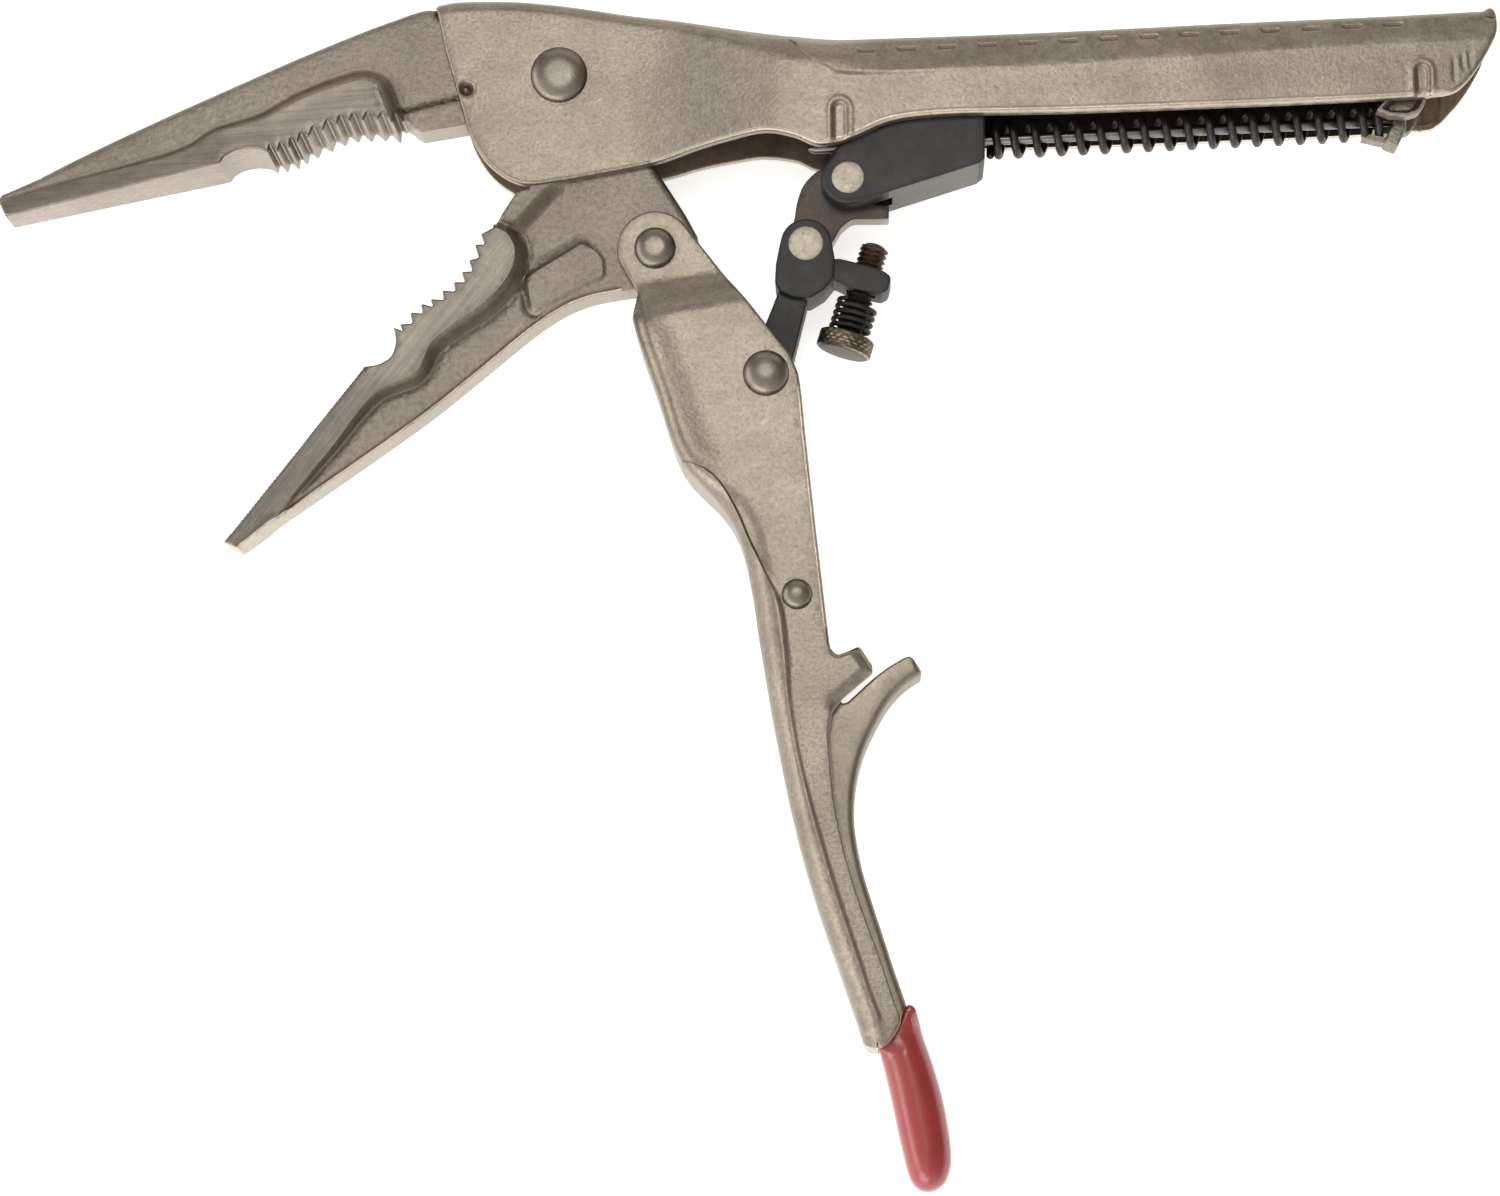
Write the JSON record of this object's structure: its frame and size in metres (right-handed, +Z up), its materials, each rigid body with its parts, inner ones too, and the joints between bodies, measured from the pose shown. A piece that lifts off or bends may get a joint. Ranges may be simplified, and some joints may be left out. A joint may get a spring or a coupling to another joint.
{
  "type": "locking pliers",
  "caption": "Long-nose locking pliers with a self-adjusting toggle: folded steel handles, riveted serrated jaws, sprung slide on a guide rod, thumb screw and red-tipped release lever.",
  "frame": {"origin": "middle of the footprint of the tool lying on its side, at the height of the surface that it lies on", "axes": "+X along the upper handle from the jaws to the handle's end, +Y across the tool from the lower handle to the upper one, +Z up, along the pivots"},
  "size_m": [0.1816, 0.1442, 0.016],
  "materials": {
    "nickel": "satin nickel plate",
    "blackened_steel": "black oxide, semi-gloss",
    "brown_steel": "oiled heat-treated brown",
    "bright_steel": "bright turned",
    "bronzed_steel": "dull bronze over steel",
    "red_vinyl": "dipped vinyl, glossy"
  },
  "bodies": {
    "upper_handle": {"upper_handle_shell": "nickel", "upper_jaw": "nickel", "main_pivot_rivet": "nickel", "guide_rod": "bright_steel", "spring_anchor": "nickel", "main_spring": "blackened_steel"},
    "lower_jaw": {"lower_jaw": "nickel"},
    "lower_handle": {"lower_handle_shell": "nickel", "jaw_handle_rivet": "nickel", "toggle_rivet": "nickel", "lever_rivet": "nickel", "toggle_spacers": "bright_steel"},
    "toggle_link": {"toggle_link": "blackened_steel", "link_pin": "bright_steel"},
    "lock_link": {"lock_link": "brown_steel"},
    "slide": {"slide_block": "blackened_steel", "slide_pin": "bright_steel"},
    "release_lever": {"release_lever": "nickel", "lever_grip": "red_vinyl"},
    "screw_carriage": {"screw_spring": "bronzed_steel"},
    "thumb_screw": {"adjusting_screw": "bronzed_steel"}
  },
  "joints": [
    {"name": "jaw_pivot", "type": "hinge", "parent": "upper_handle", "child": "lower_jaw", "pos_m": [-0.02278, 0.06263, 0.00799], "axis": [0, 0, 1], "range_deg": [-41.3, 0]},
    {"name": "handle_pivot", "type": "hinge", "parent": "lower_jaw", "child": "lower_handle", "pos_m": [-0.01098, 0.04077, 0.00799], "axis": [0, 0, 1], "range_deg": [0, 105], "deforming": ["main_spring"]},
    {"name": "toggle_pivot", "type": "hinge", "parent": "lower_handle", "child": "toggle_link", "pos_m": [0.00248, 0.02473, 0.00799], "axis": [0, 0, 1], "range_deg": [-118.7, 0]},
    {"name": "link_pivot", "type": "hinge", "parent": "toggle_link", "child": "lock_link", "pos_m": [0.00725, 0.04149, 0.00799], "axis": [0, 0, 1], "range_deg": [-6.1, 0]},
    {"name": "slide_pivot", "type": "hinge", "parent": "lock_link", "child": "slide", "pos_m": [0.01237, 0.04931, 0.00799], "axis": [0, 0, 1], "range_deg": [0, 59.7]},
    {"name": "release_lever_pivot", "type": "hinge", "parent": "lower_handle", "child": "release_lever", "pos_m": [0.00613, -0.00212, 0.00799], "axis": [0, 0, 1], "range_deg": [0, 12]},
    {"name": "screw_travel", "type": "slide", "parent": "toggle_link", "child": "screw_carriage", "axis": [0.2931, 0.9561, 0], "range_m": [0, 0.0012], "deforming": ["screw_spring"]},
    {"name": "screw_turn", "type": "hinge", "parent": "screw_carriage", "child": "thumb_screw", "pos_m": [0.01572, 0.04208, 0.00799], "axis": [0.2931, 0.9561, 0], "range_deg": [0, 721]}
  ],
  "couplings": [
    {"joint": "jaw_pivot", "follows": "handle_pivot", "ratio": -0.38795},
    {"joint": "toggle_pivot", "follows": "handle_pivot", "ratio": -1.1157},
    {"joint": "link_pivot", "follows": "handle_pivot", "ratio": -0.056497},
    {"joint": "slide_pivot", "follows": "handle_pivot", "ratio": 0.56017},
    {"joint": "screw_turn", "follows": "screw_travel", "rad_per_m": 10472}
  ]
}
